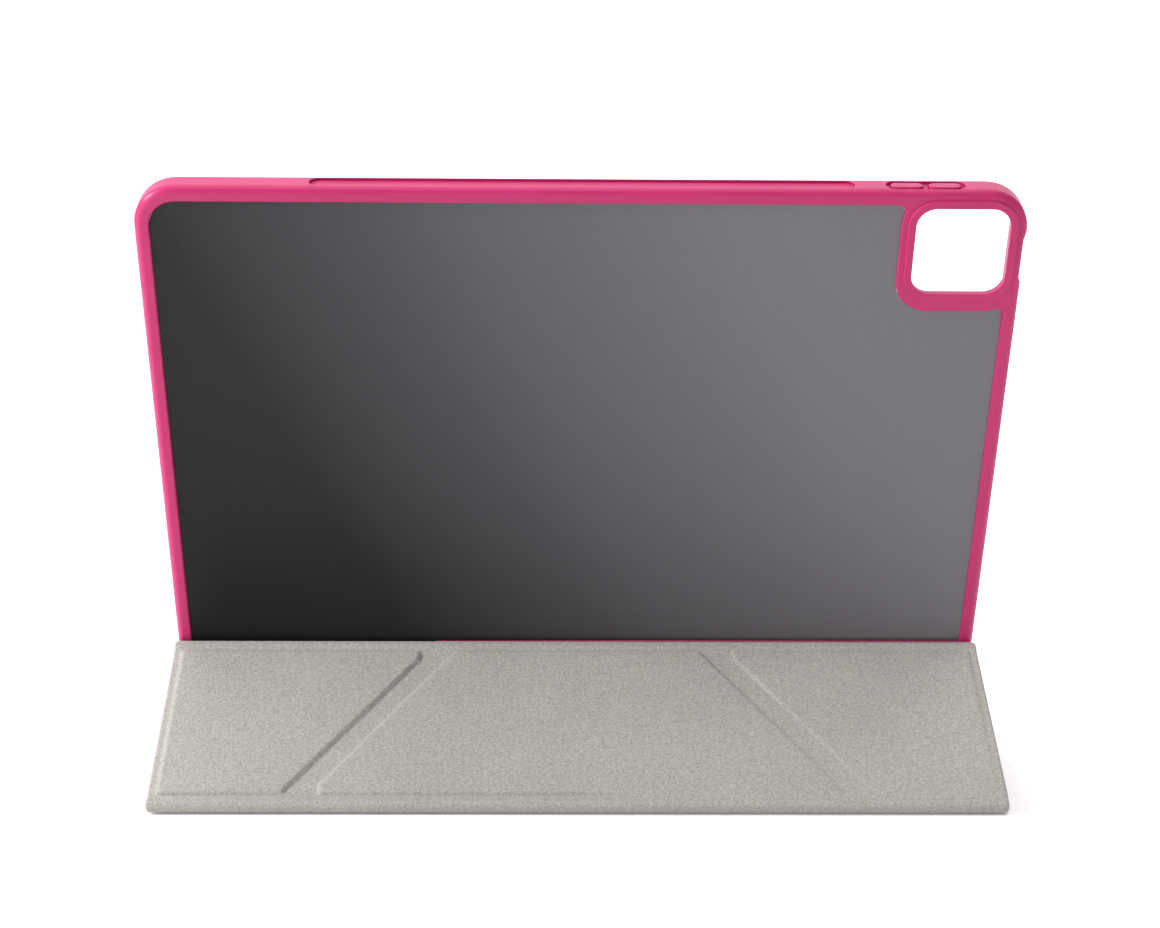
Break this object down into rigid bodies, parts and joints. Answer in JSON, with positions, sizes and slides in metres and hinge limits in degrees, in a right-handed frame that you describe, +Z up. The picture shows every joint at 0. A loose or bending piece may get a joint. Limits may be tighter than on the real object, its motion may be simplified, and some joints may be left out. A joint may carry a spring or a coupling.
{
  "type": "tablet case",
  "caption": "Tablet case: soft rim round a smoke-clear back, with a lined folding cover doubled under itself as a low triangular stand.",
  "frame": {"origin": "on the floor, in the middle of the underside of the cover's floor panel", "axes": "+X right and +Z up for someone facing the case's back; +Y away from them, towards the side the screen faces"},
  "size_m": [0.286, 0.0907, 0.2082],
  "materials": {
    "rim_tpu": "satin moulded TPU",
    "clear_back": "smoke-clear polycarbonate, satin",
    "cover_skin": "fine-grained synthetic leather",
    "lining": "brushed microfibre",
    "board": "pressed stiffener board",
    "magnet": "nickel-plated bar magnet"
  },
  "bodies": {
    "holder": {"bumper": "rim_tpu", "back_panel": "clear_back", "hinge_bead": "rim_tpu"},
    "volume_up": {"volume_up_key": "rim_tpu"},
    "volume_down": {"volume_down_key": "rim_tpu"},
    "spine": {"spine_skin": "cover_skin", "spine_lining": "lining", "spine_fold": "lining"},
    "floor_panel": {"floor_skin": "cover_skin", "floor_lining": "lining", "floor_board_left": "board", "floor_board_centre": "board", "floor_board_right": "board", "floor_magnets": "magnet", "front_fold": "lining"},
    "strut": {"strut_skin": "cover_skin", "strut_lining": "lining", "strut_board_left": "board", "strut_board_centre": "board", "strut_board_right": "board", "ridge_fold": "lining", "flap_skin": "cover_skin", "flap_lining": "lining", "flap_board_left": "board", "flap_board_centre": "board", "flap_board_right": "board", "flap_magnets": "magnet"}
  },
  "joints": [
    {"name": "cover_hinge", "type": "hinge", "parent": "holder", "child": "spine", "pos_m": [0, 0.04606, 0.0006], "axis": [1, 0, 0], "range_deg": [0, 201]},
    {"name": "spine_fold_hinge", "type": "hinge", "parent": "spine", "child": "floor_panel", "pos_m": [0, 0.03846, 0.0006], "axis": [1, 0, 0], "range_deg": [0, 90]},
    {"name": "front_fold_hinge", "type": "hinge", "parent": "floor_panel", "child": "strut", "pos_m": [0, -0.03846, 0.0028], "axis": [1, 0, 0], "range_deg": [0, 151.1]},
    {"name": "volume_up_press", "type": "slide", "parent": "holder", "child": "volume_up", "axis": [0, 0.3584, -0.9336], "range_m": [0, 0.0005], "stiffness_N_per_m": 1500},
    {"name": "volume_down_press", "type": "slide", "parent": "holder", "child": "volume_down", "axis": [0, 0.3584, -0.9336], "range_m": [0, 0.0005], "stiffness_N_per_m": 1500}
  ]
}
